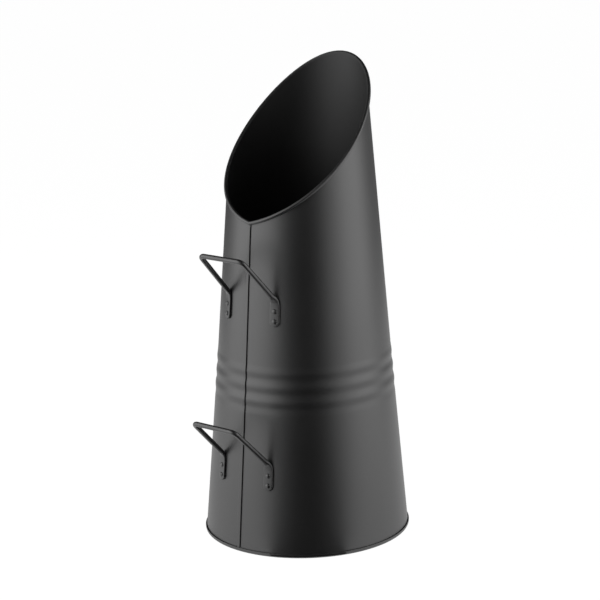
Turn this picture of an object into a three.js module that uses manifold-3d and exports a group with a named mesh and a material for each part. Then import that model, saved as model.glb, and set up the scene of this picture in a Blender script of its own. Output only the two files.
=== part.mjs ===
// Coal scuttle: a tall hod of black sheet steel that tapers up to a slanting open mouth.
// Its wall is one rolled sheet with three swaged beads, a joggled lap seam and a wired edge round
// the mouth. A flat pan closes the foot, and two bent bar handles are riveted on across the seam.
//
// Millimetres, +Z up. The origin is the centre of the base's underside. The seam, the low point
// of the mouth and both handles face -Y, and the tall lip faces +Y.

import * as THREE from 'three';
import { mergeVertices } from 'three/addons/utils/BufferGeometryUtils.js';
import Module from 'manifold-3d';

// ---- wall ----
const SHEET = 0.8;
const BASE_RADIUS = 125; // outside of the wall, carried down to the floor
const LOWER_TAPER = 0.087; // radius lost per millimetre of height, up to the top bead
const UPPER_TAPER = 0.0792; // and above it
const LEAN = 0.02; // the wall's axis moves this far towards +Y per millimetre of height

// ---- swaged beads ----
const BEAD_COUNT = 3;
const TOP_BEAD_HEIGHT = 218.5;
const BEAD_PITCH = 17.3;
const BEAD_RISE = 0.75; // of a crest, out of the plain wall
const GROOVE_DEPTH = 0.5; // of the groove below each crest

// ---- mouth: height of the rim's top edge at the seam, on the way round to the lip, and there ----
const MOUTH_HEIGHT_AT_SEAM = 396.7;
const MOUTH_HEIGHT_A_THIRD_ROUND = 448.5;
const MOUTH_HEIGHT_TWO_THIRDS_ROUND = 533.7;
const MOUTH_HEIGHT_AT_LIP = 577.2;

// ---- wired edge: the sheet rolls outward over a wire ----
const WIRE_RADIUS = 1.1;
const WIRE_CLEARANCE = 0.3;
const CURL_SLIT = 0.4; // between the end of the curl and the wall
const CURL_ROOT = 2.6; // depth of wall that follows the slant of the rim

// ---- side seam: the left end of the sheet joggles out and laps over the right end ----
const SEAM_LAP = 4.2; // flat width of the lap
const SEAM_JOGGLE = 1.4; // width of the step that lifts it
const SEAM_ROOT = 0.5; // width beside the step that is buried in the wall
const SEAM_GAP = 0.3; // under the lap

// ---- base pan ----
const PAN_SHEET = 0.9;
const PAN_CORNER_RADIUS = 3;
const LIP_HEIGHT = 5;
const LIP_CLEARANCE = 0.3;

// ---- handles: round bar with flattened, riveted ends ----
const BAR_RADIUS = 3;
const GRIP_WIDTH = 66; // between the centres of the two grip corners
const TAB_SPACING = 72.5; // between the centre lines of the two tabs
const LEG_LENGTH = 73.4; // from the bend above the tab to the grip
const GRIP_BEND_RADIUS = 7;
const FOOT_BEND_RADIUS = 9;
const TAB_WIDTH = 12;
const TAB_THICKNESS = 2.3;
const TAB_ABOVE_RIVETS = 14;
const TAB_BELOW_RIVETS = 6.4;
const TAB_CLEARANCE = 0.3;
const NECK_LENGTH = 16; // bar that widens into the tab
const UPPER_RIVET_HEIGHT = 294;
const UPPER_LEG_TILT = 46.8; // degrees above the horizontal
const LOWER_RIVET_HEIGHT = 98.2;
const LOWER_LEG_TILT = 44.6;

// ---- rivets ----
const RIVET_PITCH = 12;
const SHANK_RADIUS = 1.6;
const SHANK_CLEARANCE = 0.3;
const HEAD_RADIUS = 3;
const HEAD_HEIGHT = 1.6;
const HEAD_CLEARANCE = 0.3;
const TAIL_RADIUS = 2.6;
const TAIL_HEIGHT = 1.1;
const HOLE_OVERRUN = 4; // how far a hole's cutter passes the tab

// ---- facets ----
const WALL_COLUMNS = 60;
const ROWS_PER_BEAD = 4;
const CURL_STEPS = 9;
const WIRE_SIDES = 6;
const PAN_BEND_STEPS = 4;
const BAR_SIDES = 12;
const BAR_BEND_STEPS = 6;
const RIVET_SIDES = 10;
const HEAD_ARC = [0, 25, 50, 72, 90]; // degrees up the dome
const TAIL_ARC = [90, 45, 0];

const wasm = await Module();
wasm.setup();

const POWDER_BLACK = new THREE.MeshStandardMaterial({
  color: 0x242425,
  roughness: 0.55,
  metalness: 0.1,
});
const HANDLE_BLACK = new THREE.MeshStandardMaterial({
  color: 0x202021,
  roughness: 0.5,
  metalness: 0.1,
});

// ---- solids ----

// A geometry with only merged positions and no folded triangles.
function tidySolid(geometry) {
  const bare = geometry.clone();
  bare.deleteAttribute('normal');
  bare.deleteAttribute('uv');
  const merged = mergeVertices(bare, 1e-4);
  const corners = merged.index.array;
  const kept = [];
  for (let i = 0; i < corners.length; i += 3) {
    const [a, b, c] = corners.slice(i, i + 3);
    if (a !== b && b !== c && c !== a) kept.push(a, b, c);
  }
  merged.setIndex(kept);
  return merged;
}

function signedVolume(points, corners) {
  let six = 0;
  for (let i = 0; i < corners.length; i += 3) {
    const [a, b, c] = corners.slice(i, i + 3).map((k) => points[k]);
    six += a.dot(new THREE.Vector3().crossVectors(b, c));
  }
  return six / 6;
}

// Skins a row of loops with the same number of points. The row closes on itself, or is capped.
function solidFromLoops(loops, closed) {
  const size = loops[0].length;
  const points = loops.flat();
  const corners = [];
  const joints = closed ? loops.length : loops.length - 1;
  for (let i = 0; i < joints; i++) {
    const here = i * size;
    const next = ((i + 1) % loops.length) * size;
    for (let j = 0; j < size; j++) {
      const k = (j + 1) % size;
      corners.push(here + j, next + j, next + k, here + j, next + k, here + k);
    }
  }
  if (!closed) {
    const last = (loops.length - 1) * size;
    for (const [a, b, c] of capCorners(loops[0])) corners.push(a, b, c);
    for (const [a, b, c] of capCorners(loops.at(-1))) corners.push(last + c, last + b, last + a);
  }
  if (signedVolume(points, corners) < 0) corners.reverse();
  const geometry = new THREE.BufferGeometry().setFromPoints(points);
  geometry.setIndex(corners);
  return tidySolid(geometry);
}

// Triangles that fill one flat loop, wound the way the loop runs.
function capCorners(loop) {
  const middle = new THREE.Vector3();
  const normal = new THREE.Vector3();
  for (const point of loop) middle.addScaledVector(point, 1 / loop.length);
  loop.forEach((point, i) => {
    const after = loop[(i + 1) % loop.length];
    normal.add(point.clone().sub(middle).cross(after.clone().sub(middle)));
  });
  normal.normalize();
  const across = loop[0].clone().sub(middle).normalize();
  const up = normal.clone().cross(across);
  const flat = loop.map((point) => {
    const from = point.clone().sub(middle);
    return new THREE.Vector2(from.dot(across), from.dot(up));
  });
  return THREE.ShapeUtils.triangulateShape(flat, []);
}

function toManifold(geometry) {
  const solid = tidySolid(geometry);
  const mesh = new wasm.Mesh({
    numProp: 3,
    vertProperties: new Float32Array(solid.attributes.position.array),
    triVerts: new Uint32Array(solid.index.array),
  });
  return new wasm.Manifold(mesh);
}

function fromManifold(manifold) {
  const mesh = manifold.getMesh();
  const geometry = new THREE.BufferGeometry();
  geometry.setAttribute('position', new THREE.BufferAttribute(mesh.vertProperties, 3));
  geometry.setIndex(new THREE.BufferAttribute(mesh.triVerts, 1));
  return geometry;
}

function cutAll(geometry, cutters) {
  let solid = toManifold(geometry);
  for (const cutter of cutters) solid = solid.subtract(toManifold(cutter));
  return fromManifold(solid);
}

function namedMesh(name, geometry, material) {
  const shaded = geometry.clone();
  shaded.computeVertexNormals();
  const mesh = new THREE.Mesh(shaded, material);
  mesh.name = name;
  return mesh;
}

// ---- wall surface ----

const steps = (count) => Array.from({ length: count }, (_, i) => i);

const halfBead = BEAD_PITCH / 2;
const beadCrests = steps(BEAD_COUNT).map((i) => TOP_BEAD_HEIGHT - i * BEAD_PITCH);

// A smooth bump, 1 in the middle and 0 from half a bead's pitch away.
function bump(distance) {
  const share = Math.min(Math.abs(distance) / halfBead, 1);
  return (1 + Math.cos(Math.PI * share)) / 2;
}

// Each bead is an outward crest with a groove below it.
function beadRise(height) {
  let rise = 0;
  for (const crest of beadCrests) {
    rise += BEAD_RISE * bump(height - crest);
    rise -= GROOVE_DEPTH * bump(height - crest + halfBead);
  }
  return rise;
}

function taperAt(height) {
  return height < TOP_BEAD_HEIGHT ? LOWER_TAPER : UPPER_TAPER;
}

// Outside radius of the wall, without its beads.
function wallRadius(height) {
  const below = Math.min(height, TOP_BEAD_HEIGHT);
  return BASE_RADIUS - LOWER_TAPER * below - UPPER_TAPER * (height - below);
}

// The angle runs from the seam at -Y towards +X, in radians.
function wallNormal(angle, height) {
  const slope = LEAN * Math.cos(angle) + taperAt(height);
  return new THREE.Vector3(Math.sin(angle), -Math.cos(angle), slope).normalize();
}

// A point that stands a distance off the outside of the wall, or inside it where that is below 0.
function wallPoint(angle, height, off) {
  const radius = wallRadius(height) + beadRise(height);
  const point = new THREE.Vector3(
    radius * Math.sin(angle),
    LEAN * height - radius * Math.cos(angle),
    height,
  );
  return point.addScaledVector(wallNormal(angle, height), off);
}

// ---- mouth ----

const curlInside = WIRE_RADIUS + WIRE_CLEARANCE;
const curlOutside = curlInside + SHEET;

// Smooth over the lip and with a V at the seam: a cubic in the sine of half the angle.
function mouthHeight(angle) {
  const at = Math.abs(Math.sin(angle / 2));
  const knots = [
    [0, MOUTH_HEIGHT_AT_SEAM],
    [0.5, MOUTH_HEIGHT_A_THIRD_ROUND],
    [Math.sqrt(3) / 2, MOUTH_HEIGHT_TWO_THIRDS_ROUND],
    [1, MOUTH_HEIGHT_AT_LIP],
  ];
  let height = 0;
  for (const [x, y] of knots) {
    let weight = 1;
    for (const [other] of knots) {
      if (other !== x) weight *= (at - other) / (x - other);
    }
    height += y * weight;
  }
  return height;
}

// Slant of the rim at an angle, as the angle of its path above the horizontal.
function rimSlant(angle) {
  const step = 1e-3;
  const rise = mouthHeight(angle + step) - mouthHeight(angle - step);
  const radius = wallRadius(mouthHeight(angle));
  return Math.atan(rise / (2 * step * radius));
}

// A point of the rim's cross-section: how far off the wall, and how far up square to the rim.
// At the seam the two sides meet in a mitre, which stretches the section upward.
function rimPoint(angle, off, up) {
  const height = mouthHeight(angle) - curlOutside;
  if (angle === 0) {
    const beside = 1e-2;
    return wallPoint(0, height + up / Math.cos(rimSlant(beside)), off);
  }
  const slant = rimSlant(angle);
  const radius = wallRadius(height);
  return wallPoint(angle - (up * Math.sin(slant)) / radius, height + up * Math.cos(slant), off);
}

// ---- body shell ----

const columnAngles = steps(WALL_COLUMNS).map((i) => (i * 2 * Math.PI) / WALL_COLUMNS);
const wallFoot = PAN_CORNER_RADIUS;

// From the foot of the lowest groove to the head of the top crest.
const beadRows = steps(ROWS_PER_BEAD * (BEAD_COUNT + 0.5) + 1).map(
  (i) => TOP_BEAD_HEIGHT + (i / ROWS_PER_BEAD - BEAD_COUNT) * BEAD_PITCH,
);

// Outward and upward steps of the sheet as it rolls over the wire, from the wall to the slit.
function curlArc(radius) {
  const tuck = Math.asin((curlInside - CURL_SLIT) / curlOutside);
  const sweep = 1.5 * Math.PI + tuck;
  return steps(CURL_STEPS + 1).map((i) => {
    const turn = Math.PI - (sweep * i) / CURL_STEPS;
    return [curlInside + radius * Math.cos(turn), radius * Math.sin(turn)];
  });
}

function shellLoop(angle) {
  const root = rimPoint(angle, 0, -CURL_ROOT);
  const start = beadRows.at(-1);
  const upperRows = [1 / 3, 2 / 3].map((share) => THREE.MathUtils.lerp(start, root.z, share));
  const rows = [wallFoot, ...beadRows, ...upperRows];
  const outside = rows.map((height) => wallPoint(angle, height, 0));
  const inside = rows.map((height) => wallPoint(angle, height, -SHEET));
  const under = curlArc(curlInside).map(([off, up]) => rimPoint(angle, off, up));
  const over = curlArc(curlOutside).map(([off, up]) => rimPoint(angle, off, up));
  const innerRoot = rimPoint(angle, -SHEET, -CURL_ROOT);
  return [...outside, root, ...under, ...over.toReversed(), innerRoot, ...inside.toReversed()];
}

// The lap of the side seam: it rises out of the wall at its joggle and ends in a free edge.
function seamLap() {
  const proud = SEAM_GAP + SHEET;
  const buried = -SHEET / 2;
  const root = -SEAM_LAP - SEAM_JOGGLE - SEAM_ROOT;
  const joggle = [1 / 3, 2 / 3, 1].map((share) => [
    -SEAM_LAP - SEAM_JOGGLE * (1 - share),
    proud * THREE.MathUtils.smoothstep(share, 0, 1),
  ]);
  const profile = [
    [root, buried / 2],
    ...joggle,
    [0, proud],
    [0, SEAM_GAP],
    [-SEAM_LAP + SEAM_GAP, SEAM_GAP],
    [-SEAM_LAP - SEAM_GAP, buried],
    [root, buried],
  ];
  const bottom = LIP_HEIGHT + LIP_CLEARANCE;
  const top = rimPoint(0, 0, -curlOutside).z - SEAM_GAP;
  const middle = (beadRows.at(-1) + top) / 2;
  const loops = [bottom, ...beadRows, middle, top].map((height) =>
    profile.map(([arc, off]) => wallPoint(arc / wallRadius(height), height, off)),
  );
  return solidFromLoops(loops, false);
}

function rivetHole(rivet) {
  const radius = SHANK_RADIUS + SHANK_CLEARANCE;
  const length = 2 * (TAB_CLEARANCE + TAB_THICKNESS + HOLE_OVERRUN);
  const hole = new THREE.CylinderGeometry(radius, radius, length, RIVET_SIDES);
  return hole.applyMatrix4(rivet.matrix);
}

function bodyShell(rivets) {
  const wall = solidFromLoops(columnAngles.map(shellLoop), true);
  const joined = toManifold(wall).add(toManifold(seamLap()));
  return cutAll(fromManifold(joined), rivets.map(rivetHole));
}

function rimWire() {
  const loops = columnAngles.map((angle) =>
    steps(WIRE_SIDES).map((i) => {
      const turn = ((i + 0.5) * 2 * Math.PI) / WIRE_SIDES;
      const off = curlInside + WIRE_RADIUS * Math.cos(turn);
      return rimPoint(angle, off, WIRE_RADIUS * Math.sin(turn));
    }),
  );
  return solidFromLoops(loops, true);
}

// ---- base pan ----

function arcPoints(centreX, centreY, radius, from, to) {
  return steps(PAN_BEND_STEPS + 1).map((i) => {
    const turn = THREE.MathUtils.degToRad(from + ((to - from) * i) / PAN_BEND_STEPS);
    return new THREE.Vector2(centreX + radius * Math.cos(turn), centreY + radius * Math.sin(turn));
  });
}

// A flat disc whose edge turns up round the foot of the wall.
function basePan() {
  const lipInside = wallRadius(0) + LIP_CLEARANCE;
  const lipOutside = lipInside + PAN_SHEET;
  const bendCentre = lipOutside - PAN_CORNER_RADIUS;
  const edge = PAN_SHEET / 2;
  const profile = [
    new THREE.Vector2(0, 0),
    ...arcPoints(bendCentre, PAN_CORNER_RADIUS, PAN_CORNER_RADIUS, -90, 0),
    ...arcPoints(lipOutside - edge, LIP_HEIGHT - edge, edge, 0, 180),
    ...arcPoints(bendCentre, PAN_CORNER_RADIUS, PAN_CORNER_RADIUS - PAN_SHEET, 0, -90),
    new THREE.Vector2(0, PAN_SHEET),
  ];
  const pan = new THREE.LatheGeometry(profile, WALL_COLUMNS);
  return tidySolid(pan.rotateX(Math.PI / 2));
}

// ---- handles ----

// Angle round from the seam at which both tabs' centre lines meet the wall.
function tabAngle(rivetHeight) {
  return Math.asin(TAB_SPACING / 2 / wallRadius(rivetHeight));
}

// Centre line of the bar: up the right tab, out along the leg, and half way along the grip.
// Round bends replace its two corners.
function halfHandlePath(rivetHeight, legTilt) {
  const angle = tabAngle(rivetHeight);
  const off = TAB_CLEARANCE + TAB_THICKNESS / 2;
  const tip = wallPoint(angle, rivetHeight - RIVET_PITCH - TAB_BELOW_RIVETS, off);
  const foot = wallPoint(angle, rivetHeight + TAB_ABOVE_RIVETS, off);
  const draw = foot.x - GRIP_WIDTH / 2;
  const reach = Math.sqrt(LEG_LENGTH ** 2 - draw ** 2);
  const tilt = THREE.MathUtils.degToRad(legTilt);
  const corner = new THREE.Vector3(
    GRIP_WIDTH / 2,
    foot.y - reach * Math.cos(tilt),
    foot.z + reach * Math.sin(tilt),
  );
  const middle = new THREE.Vector3(0, corner.y, corner.z);
  return { tip, foot, corner, middle, angle };
}

// Points of a round bend that replaces the corner between two straight stretches.
function roundBend(before, corner, after, radius) {
  const back = before.clone().sub(corner).normalize();
  const on = after.clone().sub(corner).normalize();
  const half = back.angleTo(on) / 2;
  const inward = back.clone().add(on).normalize();
  const centre = corner.clone().addScaledVector(inward, radius / Math.sin(half));
  const start = corner.clone().addScaledVector(back, radius / Math.tan(half));
  const spoke = start.sub(centre);
  const axis = new THREE.Vector3().crossVectors(on, back).normalize();
  return steps(BAR_BEND_STEPS + 1).map((i) => {
    const turn = ((Math.PI - 2 * half) * i) / BAR_BEND_STEPS;
    return spoke.clone().applyAxisAngle(axis, turn).add(centre);
  });
}

// Cross-section of the bar as two half rounds set apart, which closes to a circle in the bar.
function barLoop(centre, wide, deep, halfWidth, halfDepth) {
  return steps(BAR_SIDES).map((i) => {
    const turn = ((i + 0.5) * 2 * Math.PI) / BAR_SIDES;
    const spread = Math.sign(Math.cos(turn)) * (halfWidth - halfDepth);
    return centre
      .clone()
      .addScaledVector(wide, spread + halfDepth * Math.cos(turn))
      .addScaledVector(deep, halfDepth * Math.sin(turn));
  });
}

// Half width and half depth of the bar at a distance from the tab's tip: a round end, the flat
// tab, a neck that rounds up, and then the plain bar.
function barSection(distance, neckStart) {
  const flatWidth = TAB_WIDTH / 2;
  const flatDepth = TAB_THICKNESS / 2;
  if (distance < flatWidth) {
    const round = Math.sqrt(flatWidth ** 2 - (flatWidth - distance) ** 2);
    return [Math.max(round, flatDepth), flatDepth];
  }
  const share = THREE.MathUtils.smoothstep(distance, neckStart, neckStart + NECK_LENGTH);
  return [
    THREE.MathUtils.lerp(flatWidth, BAR_RADIUS, share),
    THREE.MathUtils.lerp(flatDepth, BAR_RADIUS, share),
  ];
}

function halfHandleLoops(rivetHeight, legTilt) {
  const { tip, foot, corner, middle, angle } = halfHandlePath(rivetHeight, legTilt);
  const tabLength = tip.distanceTo(foot);
  const neckStart = tabLength - NECK_LENGTH / 2;
  const along = (from, to, shares) => shares.map((share) => from.clone().lerp(to, share));
  const footBend = roundBend(tip, foot, corner, FOOT_BEND_RADIUS);
  const gripBend = roundBend(foot, corner, middle, GRIP_BEND_RADIUS);
  const tipShares = [0, 0.15, 0.4, 0.7, 1].map((share) => (share * TAB_WIDTH) / 2 / tabLength);
  const neckShares = [0.5, 1].map((share) => (share * NECK_LENGTH) / LEG_LENGTH);
  const line = [
    ...along(tip, foot, tipShares),
    ...footBend,
    ...along(footBend.at(-1), gripBend[0], neckShares),
    ...gripBend,
    middle,
  ];

  // The frame starts flat on the wall and is carried along the line without twisting.
  const wide = new THREE.Vector3(Math.cos(angle), Math.sin(angle), 0);
  const loops = [];
  let distance = 0;
  line.forEach((centre, i) => {
    const before = line[Math.max(i - 1, 0)];
    const after = line[Math.min(i + 1, line.length - 1)];
    const ahead = after.clone().sub(centre).normalize();
    const behind = centre.clone().sub(before).normalize();
    const heading = i === line.length - 1 ? new THREE.Vector3(-1, 0, 0) : ahead.add(behind);
    heading.normalize();
    wide.addScaledVector(heading, -wide.dot(heading)).normalize();
    const deep = heading.clone().cross(wide);
    distance += centre.distanceTo(before);
    loops.push(barLoop(centre, wide.clone(), deep, ...barSection(distance, neckStart)));
  });
  return loops;
}

function mirrored(loop) {
  return loop.map((point) => new THREE.Vector3(-point.x, point.y, point.z));
}

function handle(rivetHeight, legTilt, rivets) {
  const right = halfHandleLoops(rivetHeight, legTilt);
  const left = right.slice(0, -1).toReversed().map(mirrored);
  return cutAll(solidFromLoops([...right, ...left], false), rivets.map(rivetHole));
}

// ---- rivets ----

function dome(seat, radius, height, arc) {
  return arc.map((degrees) => {
    const turn = THREE.MathUtils.degToRad(degrees);
    const across = degrees === 90 ? 0 : radius * Math.cos(turn);
    return new THREE.Vector2(across, seat + height * Math.sin(turn));
  });
}

// One rivet lies along Y here: its origin is on the outside of the wall and its head is at +Y.
function rivetGeometry() {
  const headSeat = TAB_CLEARANCE + TAB_THICKNESS + HEAD_CLEARANCE;
  const tailSeat = -SHEET - HEAD_CLEARANCE;
  const profile = [
    ...dome(tailSeat, TAIL_RADIUS, -TAIL_HEIGHT, TAIL_ARC),
    new THREE.Vector2(SHANK_RADIUS, tailSeat),
    new THREE.Vector2(SHANK_RADIUS, headSeat),
    ...dome(headSeat, HEAD_RADIUS, HEAD_HEIGHT, HEAD_ARC),
  ];
  return tidySolid(new THREE.LatheGeometry(profile, RIVET_SIDES));
}

function rivetPlace(side, height, rivetHeight) {
  const angle = side * tabAngle(rivetHeight);
  const turn = new THREE.Quaternion().setFromUnitVectors(
    new THREE.Vector3(0, 1, 0),
    wallNormal(angle, height),
  );
  return new THREE.Matrix4().compose(
    wallPoint(angle, height, 0),
    turn,
    new THREE.Vector3(1, 1, 1),
  );
}

function rivetsOf(handleName, rivetHeight) {
  const rivets = [];
  for (const [sideName, side] of [['left', -1], ['right', 1]]) {
    for (const [rowName, drop] of [['top', 0], ['bottom', RIVET_PITCH]]) {
      rivets.push({
        name: `rivet_${handleName}_${sideName}_${rowName}`,
        matrix: rivetPlace(side, rivetHeight - drop, rivetHeight),
      });
    }
  }
  return rivets;
}

function rivetMesh(rivet) {
  const mesh = namedMesh(rivet.name, rivetGeometry(), HANDLE_BLACK);
  mesh.applyMatrix4(rivet.matrix);
  return mesh;
}

// ---- assembly ----

const upperRivets = rivetsOf('upper', UPPER_RIVET_HEIGHT);
const lowerRivets = rivetsOf('lower', LOWER_RIVET_HEIGHT);
const allRivets = [...upperRivets, ...lowerRivets];

const scuttle = new THREE.Group();
scuttle.name = 'coal_scuttle';
scuttle.add(
  namedMesh('body_shell', bodyShell(allRivets), POWDER_BLACK),
  namedMesh('rim_wire', rimWire(), POWDER_BLACK),
  namedMesh('base_pan', basePan(), POWDER_BLACK),
  namedMesh('upper_handle', handle(UPPER_RIVET_HEIGHT, UPPER_LEG_TILT, upperRivets), HANDLE_BLACK),
  namedMesh('lower_handle', handle(LOWER_RIVET_HEIGHT, LOWER_LEG_TILT, lowerRivets), HANDLE_BLACK),
  ...allRivets.map(rivetMesh),
);

export default scuttle;
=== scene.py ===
import math

import bmesh
import bpy
import numpy as np
from mathutils import Matrix, Vector

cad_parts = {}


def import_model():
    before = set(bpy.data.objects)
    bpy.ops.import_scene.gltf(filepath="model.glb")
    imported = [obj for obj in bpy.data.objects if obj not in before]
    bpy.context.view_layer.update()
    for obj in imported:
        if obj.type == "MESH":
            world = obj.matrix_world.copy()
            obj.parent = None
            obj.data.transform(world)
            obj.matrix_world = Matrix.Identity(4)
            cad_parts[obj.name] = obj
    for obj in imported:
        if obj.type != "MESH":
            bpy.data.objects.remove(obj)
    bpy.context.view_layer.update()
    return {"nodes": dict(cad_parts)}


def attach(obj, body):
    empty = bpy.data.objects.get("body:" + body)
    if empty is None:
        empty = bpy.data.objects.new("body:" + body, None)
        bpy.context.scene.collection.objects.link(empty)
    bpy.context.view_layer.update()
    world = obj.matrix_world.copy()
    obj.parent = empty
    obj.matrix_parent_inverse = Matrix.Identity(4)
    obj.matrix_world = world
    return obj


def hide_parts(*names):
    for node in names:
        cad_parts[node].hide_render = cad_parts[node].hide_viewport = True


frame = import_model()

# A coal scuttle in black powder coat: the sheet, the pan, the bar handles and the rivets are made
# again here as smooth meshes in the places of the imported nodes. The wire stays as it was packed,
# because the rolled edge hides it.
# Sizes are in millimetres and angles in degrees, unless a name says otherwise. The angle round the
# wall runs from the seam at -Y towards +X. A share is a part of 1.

MM = 0.001

# ---- wall ----
SHEET = 0.8
BASE_RADIUS = 125
LOWER_TAPER = 0.087
UPPER_TAPER = 0.0792
LEAN = 0.02

# ---- swaged beads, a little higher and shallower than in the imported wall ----
BEAD_COUNT = 3
TOP_BEAD_HEIGHT = 220.4
BEAD_PITCH = 17.3
BEAD_RISE = 0.5
GROOVE_DEPTH = 0.34
BEADS_BOTTOM = TOP_BEAD_HEIGHT - BEAD_COUNT * BEAD_PITCH
BEADS_TOP = TOP_BEAD_HEIGHT + BEAD_PITCH / 2

# ---- mouth ----
MOUTH_KNOTS = ((0, 396.7), (60, 448.5), (120, 533.7), (180, 577.2))  # degrees from the seam, height

# ---- wired edge ----
WIRE_RADIUS = 1.1
WIRE_CLEARANCE = 0.3
CURL_SLIT = 0.4
CURL_ROOT = 2.6  # from the wire's middle down to where the curl leaves the wall
CURL_INSIDE = WIRE_RADIUS + WIRE_CLEARANCE
CURL_OUTSIDE = CURL_INSIDE + SHEET

# ---- side seam ----
SEAM_LAP = 4.2
SEAM_JOGGLE = 1.4
SEAM_GAP = 0.3
SEAM_SLIT_DEPTH = 1.5
SEAM_EDGE = 0.15  # how far the free edge of the lap is rounded
SEAM_CREASE = 0.35  # depth of the crease along the foot of the free edge
CREASE_FLOOR = 0.5  # width of the crease's bottom
CREASE_SIDE = 0.6  # width of its sloping side
SEAM_ZONE = 9  # width to each side that has its own columns

# ---- base pan ----
PAN_SHEET = 0.9
PAN_CORNER_RADIUS = 3
LIP_HEIGHT = 5
LIP_CLEARANCE = 0.3
LAP_BOTTOM = LIP_HEIGHT + LIP_CLEARANCE

# ---- handles ----
BAR_RADIUS = 3
GRIP_WIDTH = 66
TAB_SPACING = 72.5
LEG_LENGTH = 73.4
GRIP_BEND_RADIUS = 7
FOOT_BEND_RADIUS = 9
TAB_WIDTH = 12
TAB_THICKNESS = 2.3
TAB_ABOVE_RIVETS = 14
TAB_BELOW_RIVETS = 6.4
TAB_CLEARANCE = 0.3
NECK_LENGTH = 16  # over which the flat tab turns into round bar
HANDLES = {"upper": (294, 46.8), "lower": (98.2, 44.6)}  # height of the top rivets, leg's tilt

# ---- rivets ----
RIVET_PITCH = 12
RIVET_CLEARANCE = 0.05  # from the tab to the head, and from the wall to the tail
HEAD_RADIUS = 3
HEAD_HEIGHT = 1.6
SHANK_RADIUS = 1.6
TAIL_RADIUS = 2.6
TAIL_HEIGHT = 1.1

# ---- facets ----
WALL_COLUMNS = 240
JOGGLE_STEPS = 14
LAP_SHARES = (0.66, 0.33)  # of the lap, where it has columns
RIGHT_COLUMNS = (1.8, 3.5, 6.0)  # right of the crease
LOWER_ROWS = 18
FIRST_ROW = 2  # from the lap's bottom up to the first of the lower rows
BEAD_STEP = 0.8
UPPER_ROWS = 30
CURL_STEPS = 24
EDGE_STEP = 0.05  # height of the steps where the lap begins and ends
PAN_RINGS = (0, 40, 80, 110)
PAN_CORNER_STEPS = 12
LIP_STEPS = 8
BAR_SIDES = 40
BAR_BEND_STEPS = 18
TIP_POINTS = 12
TAB_POINTS = 12
TAB_PLAIN_SHARE = 0.75  # of the tab, before the points of the bend
LEG_POINTS = 16
LEG_NECK_SHARE = 0.4  # of the leg, where it has points for the neck
RIVET_SIDES = 40
DOME_STEPS = 12
SHARP_ANGLE = 38
MERGE_DISTANCE = 1e-4
SLANT_STEP = 1e-3  # radians to each side, where the mouth's slant is measured

# ---- coats ----
COAT_COLOUR = (0.009, 0.009, 0.0093)
COAT_IOR = 1.8
WALL_ROUGHNESS = 0.44
BAR_ROUGHNESS = 0.4
# The inside's colour is darker than the outside's: painted shade inside the scuttle.
INSIDE_SHADED_COLOUR = (0.005, 0.005, 0.0052)
INSIDE_IOR = 1.55
INSIDE_ROUGHNESS = 0.6
ROUGHNESS_SPREAD = 0.03
TINT_SPREAD = 0.15  # share of the colour
PEEL_SCALE = 900
PEEL_STRENGTH = 0.12
PEEL_DEPTH = 0.0002  # metres
CLOUD_SCALE = 14

# ---- photograph ----
PICTURE = 600
FOCAL_LENGTH = 1999  # in pixels of the 600 pixel frame
SENSOR_WIDTH = 36
CAMERA_PLACE = Vector((1.545716, -1.773852, 0.857583))  # metres
CAMERA_AIM = Vector((0.0, 0.0, 0.28426))
CAMERA_ROLL = -1.8
CAMERA_BEARING = 41

# ---- stage, in metres ----
FLOOR_SIZE = 30  # from the middle to an edge
FLOOR_COLOUR = 0.85
FLOOR_ROUGHNESS = 0.9
FLOOR_GLOW = 0.97
SHADOW_SHARE = 0.14  # what the light that the floor catches adds to its glow
AMBIENT = 0.15  # the world's light on matt surfaces


# ---- wall surface ----


def smooth(share):
    share = np.clip(share, 0, 1)
    return share * share * (3 - 2 * share)


def lobe(distance, half_width):
    off = np.clip(np.abs(distance) / half_width, 0, 1)
    return (1 + np.cos(np.pi * off)) / 2


def bead_rise(height):
    """Each bead is an outward crest with a groove below it."""
    rise = 0
    for i in range(BEAD_COUNT):
        crest = TOP_BEAD_HEIGHT - i * BEAD_PITCH
        rise = rise + BEAD_RISE * lobe(height - crest, BEAD_PITCH / 2)
        rise = rise - GROOVE_DEPTH * lobe(height - crest + BEAD_PITCH / 2, BEAD_PITCH / 2)
    return rise


def wall_radius(height):
    below = np.minimum(height, TOP_BEAD_HEIGHT)
    return BASE_RADIUS - LOWER_TAPER * below - UPPER_TAPER * (height - below)


def wall_normal(angle, height):
    taper = np.where(height < TOP_BEAD_HEIGHT, LOWER_TAPER, UPPER_TAPER)
    slope = LEAN * np.cos(angle) + taper
    normal = np.stack(np.broadcast_arrays(np.sin(angle), -np.cos(angle), slope), -1)
    return normal / np.linalg.norm(normal, axis=-1, keepdims=True)


def wall_point(angle, height, off):
    """A point at an angle in radians and a height, lifted off the wall's outside."""
    angle, height, off = np.broadcast_arrays(
        np.asarray(angle, float), np.asarray(height, float), np.asarray(off, float)
    )
    radius = wall_radius(height) + bead_rise(height)
    x, y = radius * np.sin(angle), LEAN * height - radius * np.cos(angle)
    return np.stack([x, y, height], -1) + off[..., None] * wall_normal(angle, height)


# ---- mouth ----


def mouth_height(angle):
    """A cubic in the sine of half the angle: smooth over the lip and with a V at the seam."""
    at = np.abs(np.sin(np.asarray(angle) / 2))
    knots = [(math.sin(math.radians(degrees) / 2), height) for degrees, height in MOUTH_KNOTS]
    height = 0
    for x, y in knots:
        weight = np.ones_like(at)
        for other, _ in knots:
            if other != x:
                weight = weight * (at - other) / (x - other)
        height = height + y * weight
    return height


def rim_slant(angle):
    rise = mouth_height(angle + SLANT_STEP) - mouth_height(angle - SLANT_STEP)
    return np.arctan(rise / (2 * SLANT_STEP * wall_radius(mouth_height(angle))))


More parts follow.
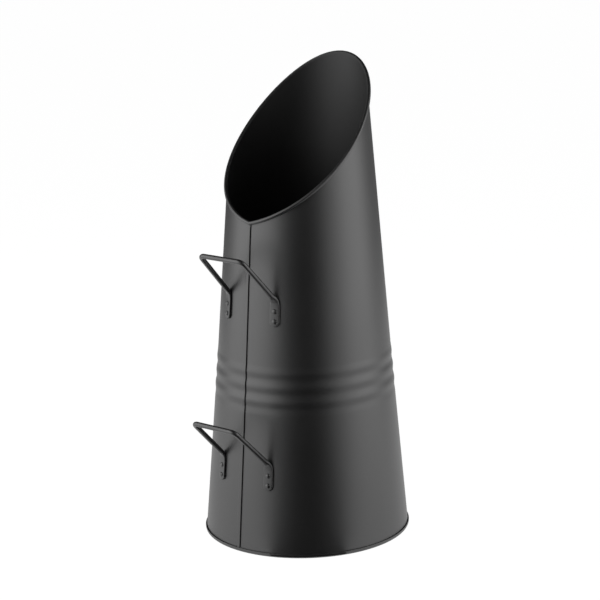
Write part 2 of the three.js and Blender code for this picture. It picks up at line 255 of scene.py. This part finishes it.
def rim_point(angle, off, up):
    """A point of the rim's cross-section. The two sides meet in a mitre at the seam."""
    side = np.where(angle < 0, -1.0, 1.0)
    away = np.maximum(np.abs(angle), 2 * SLANT_STEP)
    height = mouth_height(angle) - CURL_OUTSIDE
    slant = rim_slant(away)
    moved = np.abs(angle) - up * np.sin(slant) / wall_radius(height)
    mitre = mouth_height(0.0) - CURL_OUTSIDE + up / np.cos(slant)
    crossed = moved < 0
    at_height = np.where(crossed, mitre, height + up * np.cos(slant))
    return wall_point(np.where(crossed, 0.0, side * moved), at_height, off)


# ---- meshes ----


def new_piece(name, points, faces, material, slot_name, *nodes):
    mesh = bpy.data.meshes.new(name)
    mesh.from_pydata([tuple(p) for p in np.asarray(points) * MM], [], faces)
    mesh.validate()
    mesh.polygons.foreach_set("use_smooth", [True] * len(mesh.polygons))
    mesh.set_sharp_from_angle(angle=math.radians(SHARP_ANGLE))
    mesh.materials.append(material)
    piece = bpy.data.objects.new(name, mesh)
    bpy.context.scene.collection.objects.link(piece)
    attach(piece, "root")
    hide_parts(*nodes)
    return piece


def skin(loops, closed):
    """Points and quads through a row of loops of the same size, with end caps if it is open."""
    count, size = len(loops), len(loops[0])
    points = np.concatenate(loops)
    faces = []
    for i in range(count if closed else count - 1):
        here, there = i * size, (i + 1) % count * size
        for j in range(size):
            k = (j + 1) % size
            faces.append((here + j, there + j, there + k, here + k))
    if not closed:
        faces.append(tuple(range(size)))
        faces.append(tuple(reversed(range((count - 1) * size, count * size))))
    return outward(points, faces)


def outward(points, faces):
    """Merges what coincides, and turns every face round if they point into the solid."""
    made = bmesh.new()
    corners = [made.verts.new(p) for p in points]
    for face in faces:
        if len(set(face)) > 2:
            made.faces.new([corners[i] for i in face])
    bmesh.ops.remove_doubles(made, verts=made.verts, dist=MERGE_DISTANCE)
    bmesh.ops.dissolve_degenerate(made, dist=MERGE_DISTANCE, edges=made.edges)
    if made.calc_volume(signed=True) < 0:
        bmesh.ops.reverse_faces(made, faces=made.faces)
    made.verts.index_update()
    result = [v.co.copy() for v in made.verts], [[v.index for v in f.verts] for f in made.faces]
    made.free()
    return result


def lathe(profile, sides):
    """Skins a closed outline of (radius, height) pairs turned about Z."""
    turns = np.arange(sides) * 2 * np.pi / sides
    outline = np.asarray(profile, float)
    loops = []
    for turn in turns:
        x, y = outline[:, 0] * math.sin(turn), -outline[:, 0] * math.cos(turn)
        loops.append(np.stack([x, y, outline[:, 1]], -1))
    return skin(loops, closed=True)


def arc(centre, radius, start, end, steps):
    turns = np.radians(np.linspace(start, end, steps + 1))
    return [(centre[0] + radius * math.cos(t), centre[1] + radius * math.sin(t)) for t in turns]


# ---- body shell ----


def lap_columns():
    """Arc and lift of the columns that cross the seam, from left to right."""
    proud = SEAM_GAP + SHEET
    root = SEAM_LAP + SEAM_JOGGLE
    rounding = 0.3 * SEAM_EDGE  # the middle of the free edge's rounding
    columns = [(-SEAM_ZONE, 0.0), (-(SEAM_ZONE + root) / 2, 0.0)]
    for share in np.linspace(0, 1, JOGGLE_STEPS + 1):
        columns.append((-root + SEAM_JOGGLE * share, proud * smooth(share)))
    columns += [(-SEAM_LAP * share, proud) for share in LAP_SHARES]
    columns += [(-SEAM_EDGE, proud), (-rounding, proud - rounding)]
    columns += [(0.0, proud - SEAM_EDGE), (0.0, SEAM_GAP)]
    columns += [(-SEAM_SLIT_DEPTH, SEAM_GAP), (-SEAM_SLIT_DEPTH, -SEAM_CREASE)]
    columns += [(0.0, -SEAM_CREASE), (CREASE_FLOOR, -SEAM_CREASE)]
    columns += [(CREASE_FLOOR + CREASE_SIDE / 2, -SEAM_CREASE / 3), (CREASE_FLOOR + CREASE_SIDE, 0.0)]
    columns += [(seam_arc, 0.0) for seam_arc in RIGHT_COLUMNS]
    return columns


def wall_rows(root_height):
    """Heights of the points up the wall, from the pan's corner to just below the curl's root."""
    foot = (PAN_CORNER_RADIUS, LAP_BOTTOM, LAP_BOTTOM + EDGE_STEP)
    lower = np.linspace(LAP_BOTTOM + FIRST_ROW, BEADS_BOTTOM, LOWER_ROWS, endpoint=False)
    bead_rows = round((BEADS_TOP - BEADS_BOTTOM) / BEAD_STEP)
    beads = np.linspace(BEADS_BOTTOM, BEADS_TOP, bead_rows + 1)
    upper = np.linspace(BEADS_TOP, root_height, UPPER_ROWS + 1)[1:-1]
    return np.array([*foot, *lower, *beads, *upper])


def curl_arc(rim_angle, radius):
    """Points round the wire, from the wall over the top and back under to the slit."""
    tuck = math.asin((CURL_INSIDE - CURL_SLIT) / CURL_OUTSIDE)
    turns = math.pi - np.linspace(0, 1.5 * math.pi + tuck, CURL_STEPS + 1)
    return rim_point(rim_angle, CURL_INSIDE + radius * np.cos(turns), radius * np.sin(turns))


def shell_column(share, seam_arc, lift, in_slit):
    """A loop up the wall's outside, round the curl and down the inside.

    It lies at a share of a turn and an arc beyond it. Above the lap's bottom its outside is lifted,
    and below that a column of the slit comes back to the seam's line, so that the slit ends there.
    """

    def angle_at(height, lapped=0):
        arc_here = seam_arc * (lapped if in_slit else 1)
        return 2 * np.pi * share + arc_here / wall_radius(height)

    rim_angle = angle_at(mouth_height(0.0))
    for _ in range(2):
        root_height = rim_point(rim_angle, 0, -CURL_ROOT)[2]
        rim_angle = angle_at(root_height + CURL_ROOT)
    if rim_angle > np.pi:
        rim_angle = rim_angle - 2 * np.pi

    root = rim_point(rim_angle, 0, -CURL_ROOT)
    heights = wall_rows(root[2])
    lapped = (heights > LAP_BOTTOM).astype(float)
    outside = wall_point(angle_at(heights, lapped), heights, lift * lapped)
    lifted_root = root + wall_normal(rim_angle, root[2]) * lift
    curl_foot = rim_point(rim_angle, 0, -CURL_ROOT + EDGE_STEP)
    inner_root = rim_point(rim_angle, -SHEET, -CURL_ROOT)
    inside = wall_point(angle_at(heights), heights, -SHEET)
    round_wire = [*curl_arc(rim_angle, CURL_INSIDE), *curl_arc(rim_angle, CURL_OUTSIDE)[::-1]]
    return np.array([*outside, lifted_root, curl_foot, *round_wire, inner_root, *inside[::-1]])


def body_shell(material):
    loops = []
    for share in np.arange(WALL_COLUMNS) / WALL_COLUMNS:
        loops.append(shell_column(share, SEAM_ZONE * (1 - 2 * share), 0.0, False))
    for seam_arc, lift in lap_columns():
        in_slit = seam_arc == -SEAM_SLIT_DEPTH
        loops.append(shell_column(0.0, seam_arc, lift, in_slit))
    return new_piece("shell_sheet", *skin(loops, closed=True), material, "body_coat", "body_shell")


def coat_inside_shaded(shell, material):
    """Gives the wall's inside a duller coat than its outside, in a darker colour that is painted
    shade.
    """
    shell.data.materials.append(material)
    for face in shell.data.polygons:
        if face.center.xy.dot(face.normal.xy) < 0:
            face.material_index = 1


# ---- base pan ----


def base_pan(material):
    lip_inside = BASE_RADIUS + LIP_CLEARANCE
    lip_outside = lip_inside + PAN_SHEET
    bend = (lip_outside - PAN_CORNER_RADIUS, PAN_CORNER_RADIUS)
    edge = PAN_SHEET / 2
    profile = [(radius, 0) for radius in PAN_RINGS]
    profile += arc(bend, PAN_CORNER_RADIUS, -90, 0, PAN_CORNER_STEPS)
    profile += arc((lip_outside - edge, LIP_HEIGHT - edge), edge, 0, 180, LIP_STEPS)
    profile += arc(bend, PAN_CORNER_RADIUS - PAN_SHEET, 0, -90, PAN_CORNER_STEPS)
    profile += [(radius, PAN_SHEET) for radius in reversed(PAN_RINGS)]
    return new_piece("pan_disc", *lathe(profile, WALL_COLUMNS), material, "body_coat", "base_pan")


# ---- handles ----


def tab_angle(rivet_height):
    return math.asin(TAB_SPACING / 2 / wall_radius(rivet_height))


def unit(vector):
    return vector / np.linalg.norm(vector)


def round_bend(before, corner, after, radius):
    back, on = unit(before - corner), unit(after - corner)
    half = math.acos(float(back @ on)) / 2
    centre = corner + unit(back + on) * radius / math.sin(half)
    spoke = Vector(corner + back * radius / math.tan(half) - centre)
    axis = Vector(np.cross(on, back)).normalized()
    turns = np.linspace(0, math.pi - 2 * half, BAR_BEND_STEPS + 1)
    return [centre + np.array(Matrix.Rotation(turn, 3, axis) @ spoke) for turn in turns]


def bar_section(distance, neck_start):
    """Half width and half depth at a distance from the tab's tip."""
    wide, deep = TAB_WIDTH / 2, TAB_THICKNESS / 2
    if distance < wide:
        return max(math.sqrt(wide**2 - (wide - distance) ** 2), deep), deep
    share = float(smooth((distance - neck_start) / NECK_LENGTH))
    return wide + (BAR_RADIUS - wide) * share, deep + (BAR_RADIUS - deep) * share


def half_handle_line(angle, rivet_height, leg_tilt):
    """The bar's middle line, from the tip of the right tab to the middle of the grip."""
    off = TAB_CLEARANCE + TAB_THICKNESS / 2
    tip = wall_point(angle, rivet_height - RIVET_PITCH - TAB_BELOW_RIVETS, off)
    foot = wall_point(angle, rivet_height + TAB_ABOVE_RIVETS, off)
    reach = math.sqrt(LEG_LENGTH**2 - (foot[0] - GRIP_WIDTH / 2) ** 2)
    tilt = math.radians(leg_tilt)
    grip_y, grip_z = foot[1] - reach * math.cos(tilt), foot[2] + reach * math.sin(tilt)
    corner = np.array([GRIP_WIDTH / 2, grip_y, grip_z])
    middle = np.array([0, grip_y, grip_z])

    tab_length = np.linalg.norm(foot - tip)
    foot_bend = round_bend(tip, foot, corner, FOOT_BEND_RADIUS)
    grip_bend = round_bend(foot, corner, middle, GRIP_BEND_RADIUS)
    tip_turns = np.linspace(0, np.pi / 2, TIP_POINTS)
    tip_shares = (1 - np.cos(tip_turns)) * TAB_WIDTH / 2 / tab_length
    tab_shares = np.linspace(tip_shares[-1], TAB_PLAIN_SHARE, TAB_POINTS)[1:]
    line = [tip + (foot - tip) * share for share in (*tip_shares, *tab_shares)]
    line += foot_bend
    leg = grip_bend[0] - foot_bend[-1]
    line += [foot_bend[-1] + leg * share for share in np.linspace(0, LEG_NECK_SHARE, LEG_POINTS)[1:]]
    return [*line, *grip_bend, middle], tab_length


def half_handle_loops(rivet_height, leg_tilt):
    angle = tab_angle(rivet_height)
    line, tab_length = half_handle_line(angle, rivet_height, leg_tilt)
    wide = np.array([math.cos(angle), math.sin(angle), 0])
    loops, distance = [], 0.0
    turns = (np.arange(BAR_SIDES) + 0.5) * 2 * np.pi / BAR_SIDES
    for i, centre in enumerate(line):
        before, after = line[max(i - 1, 0)], line[min(i + 1, len(line) - 1)]
        heading = unit(after - before) if after is not centre else np.array([-1.0, 0, 0])
        wide = unit(wide - heading * (wide @ heading))
        deep = np.cross(heading, wide)
        distance += np.linalg.norm(centre - before)
        half_width, half_depth = bar_section(distance, tab_length - NECK_LENGTH / 2)
        across = np.sign(np.cos(turns)) * (half_width - half_depth) + half_depth * np.cos(turns)
        loops.append(centre + np.outer(across, wide) + np.outer(half_depth * np.sin(turns), deep))
    return loops


def handle(name, rivet_height, leg_tilt, material):
    right = half_handle_loops(rivet_height, leg_tilt)
    left = [loop * [-1, 1, 1] for loop in reversed(right[:-1])]
    points, faces = skin([*right, *left], closed=False)
    return new_piece(f"{name}_bar", points, faces, material, "handle_coat", f"{name}_handle")


# ---- rivets ----


def rivet_profile():
    head_seat = TAB_CLEARANCE + TAB_THICKNESS + RIVET_CLEARANCE
    tail_seat = -SHEET - RIVET_CLEARANCE
    steps = np.radians(np.linspace(0, 90, DOME_STEPS + 1))
    head = [(HEAD_RADIUS * math.cos(t), head_seat + HEAD_HEIGHT * math.sin(t)) for t in steps]
    tail = [(TAIL_RADIUS * math.cos(t), tail_seat - TAIL_HEIGHT * math.sin(t)) for t in steps]
    return [*reversed(tail), (SHANK_RADIUS, tail_seat), (SHANK_RADIUS, head_seat), *head]


def rivet(name, side, height, rivet_height, material):
    angle = side * tab_angle(rivet_height)
    points, faces = lathe(rivet_profile(), RIVET_SIDES)
    turn = Vector(wall_normal(angle, height)).to_track_quat("Z", "Y")
    place = Vector(wall_point(angle, height, 0))
    placed = [turn @ Vector(p) + place for p in points]
    return new_piece(f"{name}_dome", placed, faces, material, "handle_coat", name)


def riveted_handles(material):
    for handle_name, (top_rivets, leg_tilt) in HANDLES.items():
        handle(handle_name, top_rivets, leg_tilt, material)
        for side_name, side in (("left", -1), ("right", 1)):
            for row_name, drop in (("top", 0), ("bottom", RIVET_PITCH)):
                node = f"rivet_{handle_name}_{side_name}_{row_name}"
                rivet(node, side, top_rivets - drop, top_rivets, material)


# ---- materials ----


def new_material(name):
    material = bpy.data.materials.new(name)
    material.use_nodes = True
    nodes, links = material.node_tree.nodes, material.node_tree.links
    return material, nodes, links, nodes["Principled BSDF"]


def new_noise(nodes, links, place, scale, detail):
    noise = nodes.new("ShaderNodeTexNoise")
    noise.inputs["Scale"].default_value = scale
    noise.inputs["Detail"].default_value = detail
    links.new(place.outputs["Object"], noise.inputs["Vector"])
    return noise


def powder_coat(name, colour, roughness, ior):
    """Powder coat with a fine orange peel and a faintly cloudy gloss and colour."""
    material, nodes, links, shader = new_material(name)
    shader.inputs["IOR"].default_value = ior
    place = nodes.new("ShaderNodeTexCoord")

    peel = new_noise(nodes, links, place, PEEL_SCALE, detail=3)
    bump = nodes.new("ShaderNodeBump")
    bump.inputs["Strength"].default_value = PEEL_STRENGTH
    bump.inputs["Distance"].default_value = PEEL_DEPTH
    links.new(peel.outputs["Fac"], bump.inputs["Height"])
    links.new(bump.outputs["Normal"], shader.inputs["Normal"])

    cloud = new_noise(nodes, links, place, CLOUD_SCALE, detail=4)
    gloss = nodes.new("ShaderNodeMapRange")
    gloss.inputs["To Min"].default_value = roughness - ROUGHNESS_SPREAD
    gloss.inputs["To Max"].default_value = roughness + ROUGHNESS_SPREAD
    links.new(cloud.outputs["Fac"], gloss.inputs["Value"])
    links.new(gloss.outputs["Result"], shader.inputs["Roughness"])

    tint = nodes.new("ShaderNodeMix")
    tint.data_type = "RGBA"
    tint.inputs["A"].default_value = (*[(1 - TINT_SPREAD) * c for c in colour], 1)
    tint.inputs["B"].default_value = (*[(1 + TINT_SPREAD) * c for c in colour], 1)
    links.new(cloud.outputs["Fac"], tint.inputs["Factor"])
    links.new(tint.outputs["Result"], shader.inputs["Base Color"])
    return material


def dress_wire():
    """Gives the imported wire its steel."""
    steel, _, _, shader = new_material("wire_steel")
    shader.inputs["Metallic"].default_value = 1
    shader.inputs["Roughness"].default_value = 0.35
    wire = frame["nodes"]["rim_wire"]
    wire.data.materials.clear()
    wire.data.materials.append(steel)


# ---- stage ----


def place_round(thing, bearing, distance, height):
    """Links a lamp or card at a bearing round the scuttle, counted like the wall's angle."""
    turn = math.radians(bearing)
    thing.location = (distance * math.sin(turn), -distance * math.cos(turn), height)
    bpy.context.scene.collection.objects.link(thing)


def stand(thing, bearing, distance, middle):
    """Stands a lamp or card so that it faces the scuttle, its middle at a height."""
    place_round(thing, bearing, distance, middle)
    thing.rotation_mode = "QUATERNION"
    aim = Vector((0, 0, middle)) - thing.location
    thing.rotation_quaternion = aim.to_track_quat("-Z", "Y")


def lay(thing, bearing, distance, height):
    """Lays a square card flat, a corner pointing at the scuttle."""
    place_round(thing, bearing, distance, height)
    thing.rotation_euler.z = math.radians(bearing) + math.radians(45)


def softbox(name, bearing, distance, width, height, brightness):
    """A lamp that stands on the floor. Brightness is 1 where it looks as bright as the floor."""
    light = bpy.data.lights.new(name, "AREA")
    light.shape = "RECTANGLE"
    light.size, light.size_y = width, height
    light.energy = brightness * math.pi * width * height
    stand(bpy.data.objects.new(name, light), bearing, distance, height / 2)


def flat_mesh(name, half_width, half_height, material):
    x, y = half_width, half_height
    mesh = bpy.data.meshes.new(name)
    mesh.from_pydata([(-x, -y, 0), (x, -y, 0), (x, y, 0), (-x, y, 0)], [], [(0, 1, 2, 3)])
    mesh.materials.append(material)
    return mesh


def card(name, width, height, brightness):
    """A black or grey card, which keeps the white room out of the reflections there."""
    material, _, _, shader = new_material(name)
    shader.inputs["Base Color"].default_value = (0, 0, 0, 1)
    shader.inputs["Specular IOR Level"].default_value = 0
    shader.inputs["Emission Color"].default_value = (1, 1, 1, 1)
    shader.inputs["Emission Strength"].default_value = brightness
    made = bpy.data.objects.new(name, flat_mesh(name, width / 2, height / 2, material))
    made.visible_camera = False
    made.visible_diffuse = False
    made.visible_shadow = False
    return made


def seen_rays(nodes, links):
    """1 for camera, glossy and transmission rays."""
    path = nodes.new("ShaderNodeLightPath")
    total = path.outputs["Is Camera Ray"]
    for other in ("Is Glossy Ray", "Is Transmission Ray"):
        add = nodes.new("ShaderNodeMath")
        add.operation = "MAXIMUM"
        links.new(total, add.inputs[0])
        links.new(path.outputs[other], add.inputs[1])
        total = add.outputs[0]
    return total


def world():
    """White in the picture and in reflections, and a dim light to the rest."""
    made = bpy.data.worlds.new("studio")
    made.use_nodes = True
    nodes, links = made.node_tree.nodes, made.node_tree.links
    strength = nodes.new("ShaderNodeMapRange")
    strength.inputs["To Min"].default_value = AMBIENT
    strength.inputs["To Max"].default_value = 1
    links.new(seen_rays(nodes, links), strength.inputs["Value"])
    links.new(strength.outputs["Result"], nodes["Background"].inputs["Strength"])
    nodes["Background"].inputs["Color"].default_value = (1, 1, 1, 1)
    bpy.context.scene.world = made


def floor():
    """White in the picture and in reflections, with a faint shadow, and plain matt to the rest."""
    material, nodes, links, matt = new_material("floor_white")
    matt.inputs["Base Color"].default_value = (*[FLOOR_COLOUR] * 3, 1)
    matt.inputs["Roughness"].default_value = FLOOR_ROUGHNESS
    matt.inputs["Specular IOR Level"].default_value = 0
    shade = nodes.new("ShaderNodeBsdfDiffuse")
    shade.inputs["Color"].default_value = (*[SHADOW_SHARE] * 3, 1)
    glow = nodes.new("ShaderNodeEmission")
    glow.inputs["Strength"].default_value = FLOOR_GLOW
    white = nodes.new("ShaderNodeAddShader")
    links.new(shade.outputs[0], white.inputs[0])
    links.new(glow.outputs[0], white.inputs[1])
    both = nodes.new("ShaderNodeMixShader")
    links.new(seen_rays(nodes, links), both.inputs["Fac"])
    links.new(matt.outputs[0], both.inputs[1])
    links.new(white.outputs[0], both.inputs[2])
    links.new(both.outputs[0], nodes["Material Output"].inputs["Surface"])
    plane = bpy.data.objects.new("floor", flat_mesh("floor", FLOOR_SIZE, FLOOR_SIZE, material))
    bpy.context.scene.collection.objects.link(plane)


def studio():
    """Two lamps, and cards whose reflections shade the wall as in the photograph."""
    softbox("left_softbox", bearing=-36, distance=1.3, width=1.9, height=2.0, brightness=1.15)
    softbox("right_softbox", bearing=118, distance=1.3, width=1.05, height=2.0, brightness=1.25)
    front_card = card("front_card", width=1.5, height=1.3, brightness=0)
    stand(front_card, CAMERA_BEARING, distance=1.25, middle=0.6)
    left_card = card("left_card", width=2.1, height=2.4, brightness=0.14)
    stand(left_card, bearing=-107, distance=1.6, middle=1.2)
    back_card = card("back_card", width=2.2, height=2.4, brightness=0.26)
    stand(back_card, bearing=-172, distance=1.6, middle=1.2)
    floor_card = card("floor_card", width=1.0, height=1.0, brightness=0)
    lay(floor_card, CAMERA_BEARING, distance=0.78, height=0.002)
    top_card = card("top_card", width=3.4, height=3.4, brightness=0)
    lay(top_card, bearing=0, distance=0, height=1.9)


def camera():
    half_pixel = 0.5 / PICTURE
    data = bpy.data.cameras.new("camera")
    data.sensor_width = SENSOR_WIDTH
    data.lens = FOCAL_LENGTH * SENSOR_WIDTH / PICTURE
    data.shift_x, data.shift_y = -half_pixel, half_pixel
    made = bpy.data.objects.new("camera", data)
    made.location = CAMERA_PLACE
    made.rotation_mode = "QUATERNION"
    aim = (CAMERA_AIM - CAMERA_PLACE).to_track_quat("-Z", "Y")
    roll = Matrix.Rotation(math.radians(CAMERA_ROLL), 4, "Z").to_quaternion()
    made.rotation_quaternion = aim @ roll
    bpy.context.scene.collection.objects.link(made)
    bpy.context.scene.camera = made


camera()
floor()
world()
studio()
bpy.context.scene.view_settings.view_transform = "Standard"

wall_coat = powder_coat("body_coat", COAT_COLOUR, WALL_ROUGHNESS, COAT_IOR)
# The inside coat is the wall's coat with a darker colour as painted shade, and a duller gloss.
shaded_inside_coat = powder_coat("shaded_inside_coat", INSIDE_SHADED_COLOUR, INSIDE_ROUGHNESS, INSIDE_IOR)
bar_coat = powder_coat("handle_coat", COAT_COLOUR, BAR_ROUGHNESS, COAT_IOR)

coat_inside_shaded(body_shell(wall_coat), shaded_inside_coat)
base_pan(wall_coat)
riveted_handles(bar_coat)
dress_wire()
